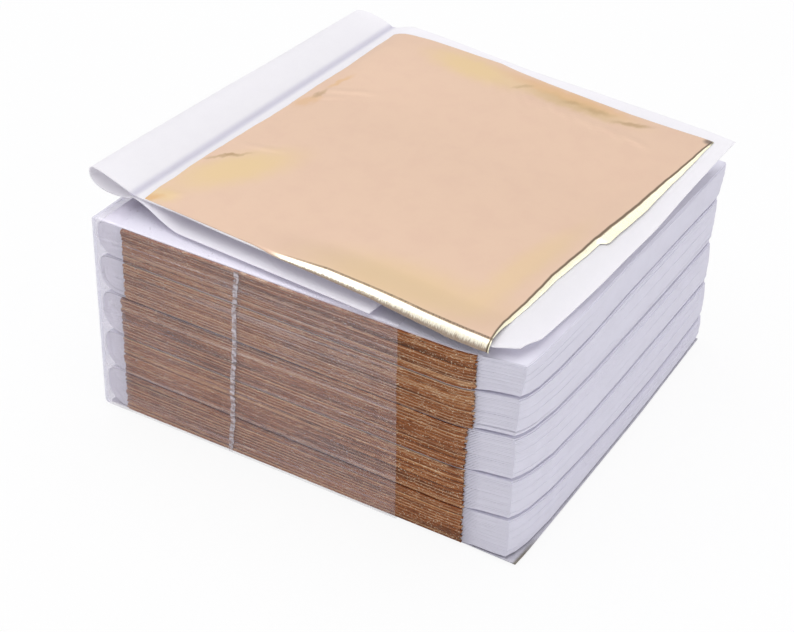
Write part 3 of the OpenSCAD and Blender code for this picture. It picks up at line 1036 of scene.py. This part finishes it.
loose_sheet = sheets("loose_tissue_loop", 1, LOOSE_COLUMNS, LOOSE_ROWS, place_loose_sheet, loop_marks)
dress(loose_sheet, "loose_folio", loose_tissue, "tissue", "folio_loop_and_lower_page")
upper_page = sheets("loose_tissue_page", 1, PAGE_CELLS, PAGE_CELLS, place_upper_page, page_marks)
dress(upper_page, "folio_page", loose_tissue, "tissue", "folio_upper_page")
top_leaf = sheets("open_gold_leaf", 1, *[TOP_CELLS + BENT_CELLS] * 2, place_top_leaf, leaf_marks)
dress(top_leaf, "top_leaf", gold_face, "gold_leaf", "top_gold_leaf")

sleeve = film_sleeve()
dress(sleeve, "sleeve", film_finish(), "clear_film", "film_sleeve")
seal = sheets("sleeve_heat_seal", 1, SEAL_COLUMNS, SEAL_ROWS, place_seal, seal_marks)
seal.data.materials.clear()
seal.data.materials.append(seal_finish())
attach(seal, "sleeve")

# Floor, light and camera

FLOOR_W = 6
FLOOR_Z = -0.0002
# Share of the floor that is plain white to the camera, while the rest takes shadows
FLOOR_GLOW = 0.9
# The world's level as a light
WORLD_LIGHT = 0.42
LIGHTS_AIM = (0, 0, 0.03)

deselect()
bpy.ops.mesh.primitive_plane_add(size=FLOOR_W, location=(0, 0, FLOOR_Z))
floor = bpy.context.object
floor.name = "floor"
white = Finish("floor_white", {"Base Color": (0.9, 0.9, 0.92, 1), "Roughness": 0.9, "Specular IOR Level": 0})
white.blend_in(white.seen_directly() * FLOOR_GLOW, white.node("Emission", {}, {}))
floor.data.materials.append(white.material)

world = bpy.data.worlds.new("studio")
bpy.context.scene.world = world
studio = Nodes(world)
level = studio.node("MapRange", {}, {"Value": studio.seen_directly(), "To Min": WORLD_LIGHT, "To Max": 1})
background = studio.tree.nodes["Background"]
background.inputs["Color"].default_value = (1, 1, 1, 1)
studio.tree.links.new(level.socket, background.inputs["Strength"])


def softbox(name, place, width, power):
    deselect()
    bpy.ops.object.light_add(type="AREA", location=place)
    lamp = bpy.context.object
    lamp.name = name
    lamp.data.shape = "SQUARE"
    lamp.data.size = width
    lamp.data.energy = power
    lamp.rotation_euler = (Vector(LIGHTS_AIM) - Vector(place)).to_track_quat("-Z", "Y").to_euler()


softbox("overhead_softbox", (-0.14, 0.0, 0.9), 1.3, 7.9)
softbox("side_softbox", (0.85, -0.15, 0.4), 0.5, 1.2)

azimuth, elevation = math.radians(CAMERA_AZ), math.radians(CAMERA_EL)
back = Vector(
    (
        math.sin(azimuth) * math.cos(elevation),
        -math.cos(azimuth) * math.cos(elevation),
        math.sin(elevation),
    )
)
right = (-back).cross(Vector((0, 0, 1))).normalized()
up = right.cross(-back)
rolled_right = math.cos(CAMERA_ROLL) * right + math.sin(CAMERA_ROLL) * up
rolled_up = math.cos(CAMERA_ROLL) * up - math.sin(CAMERA_ROLL) * right
camera_data = bpy.data.cameras.new("camera")
camera_data.lens = SENSOR * FOCAL_PX / IMAGE_W
camera_data.sensor_width = SENSOR
camera_data.clip_start = 0.01
camera = bpy.data.objects.new("camera", camera_data)
bpy.context.scene.collection.objects.link(camera)
place = (CAMERA_DIST * back + CAMERA_RIGHT * rolled_right + CAMERA_UP * rolled_up) * MM
facing = Matrix((rolled_right, rolled_up, back)).transposed().to_4x4()
camera.matrix_world = Matrix.Translation(place) @ facing
bpy.context.scene.camera = camera

bpy.context.scene.view_settings.view_transform = "Standard"
